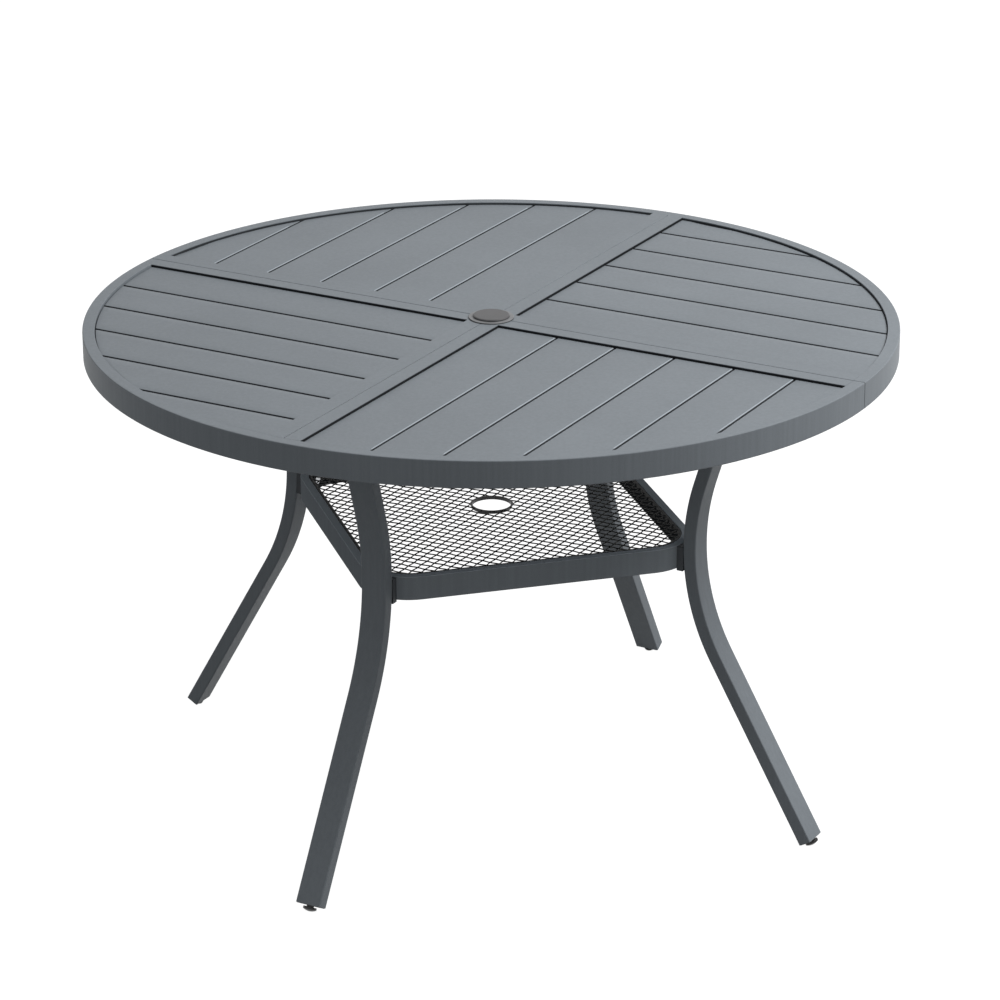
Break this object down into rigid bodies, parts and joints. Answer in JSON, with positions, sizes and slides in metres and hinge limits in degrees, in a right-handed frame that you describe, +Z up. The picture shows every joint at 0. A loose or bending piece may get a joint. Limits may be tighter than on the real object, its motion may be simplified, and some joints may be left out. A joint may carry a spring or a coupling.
{
  "type": "umbrella table",
  "caption": "Round powder-coated metal outdoor table with a slatted top, a capped umbrella hole, bent legs, a mesh shelf and levelling feet.",
  "frame": {"origin": "on the floor, under the middle of the top", "axes": "+Z up; +X along the seam between the two half tops, towards the right leg; +Y square to the seam, towards the back leg"},
  "size_m": [1.2, 1.1998, 0.7415],
  "materials": {
    "coat": "dark grey fine-texture powder coat, satin",
    "mesh_coat": "near-black dipped coat on expanded mesh",
    "ring_plastic": "moulded warm grey plastic, matt",
    "black_plastic": "moulded black plastic, matt",
    "zinc": "bright zinc-plated steel"
  },
  "bodies": {
    "table": {"hub_bolts": "zinc", "hub_plate": "coat", "leg_back": "coat", "leg_bolts_back": "zinc", "leg_bolts_front": "zinc", "leg_bolts_left": "zinc", "leg_bolts_right": "zinc", "leg_front": "coat", "leg_left": "coat", "leg_plate_back": "coat", "leg_plate_front": "coat", "leg_plate_left": "coat", "leg_plate_right": "coat", "leg_plug_back": "black_plastic", "leg_plug_front": "black_plastic", "leg_plug_left": "black_plastic", "leg_plug_right": "black_plastic", "leg_right": "coat", "mid_rail_a_left": "coat", "mid_rail_a_right": "coat", "mid_rail_b_left": "coat", "mid_rail_b_right": "coat", "panel_back_left": "coat", "panel_back_right": "coat", "panel_front_left": "coat", "panel_front_right": "coat", "panel_rib_back_left": "coat", "panel_rib_back_right": "coat", "panel_rib_front_left": "coat", "panel_rib_front_right": "coat", "rim_a": "coat", "rim_b": "coat", "rim_strap_left": "coat", "rim_strap_right": "coat", "ring_nut": "ring_plastic", "seam_rail_a": "coat", "seam_rail_b": "coat", "shelf_bolts": "zinc", "shelf_frame": "coat", "shelf_mesh": "mesh_coat", "shelf_ring": "black_plastic", "shelf_spacer_back": "coat", "shelf_spacer_front": "coat", "shelf_spacer_left": "coat", "shelf_spacer_right": "coat", "strap_screws_left": "zinc", "strap_screws_right": "zinc", "umbrella_ring": "ring_plastic"},
    "cap": {"umbrella_cap": "ring_plastic"},
    "right_foot": {"foot_right": "black_plastic"},
    "back_foot": {"foot_back": "black_plastic"},
    "left_foot": {"foot_left": "black_plastic"},
    "front_foot": {"foot_front": "black_plastic"}
  },
  "joints": [
    {"name": "cap_lift", "type": "slide", "parent": "table", "child": "cap", "axis": [0, 0, 1], "range_m": [0, 0.06]},
    {"name": "right_foot_screw", "type": "slide", "parent": "table", "child": "right_foot", "axis": [0.5, 0, -0.866], "range_m": [0, 0.008]},
    {"name": "back_foot_screw", "type": "slide", "parent": "table", "child": "back_foot", "axis": [0, 0.5, -0.866], "range_m": [0, 0.008]},
    {"name": "left_foot_screw", "type": "slide", "parent": "table", "child": "left_foot", "axis": [-0.5, 0, -0.866], "range_m": [0, 0.008]},
    {"name": "front_foot_screw", "type": "slide", "parent": "table", "child": "front_foot", "axis": [0, -0.5, -0.866], "range_m": [0, 0.008]}
  ]
}
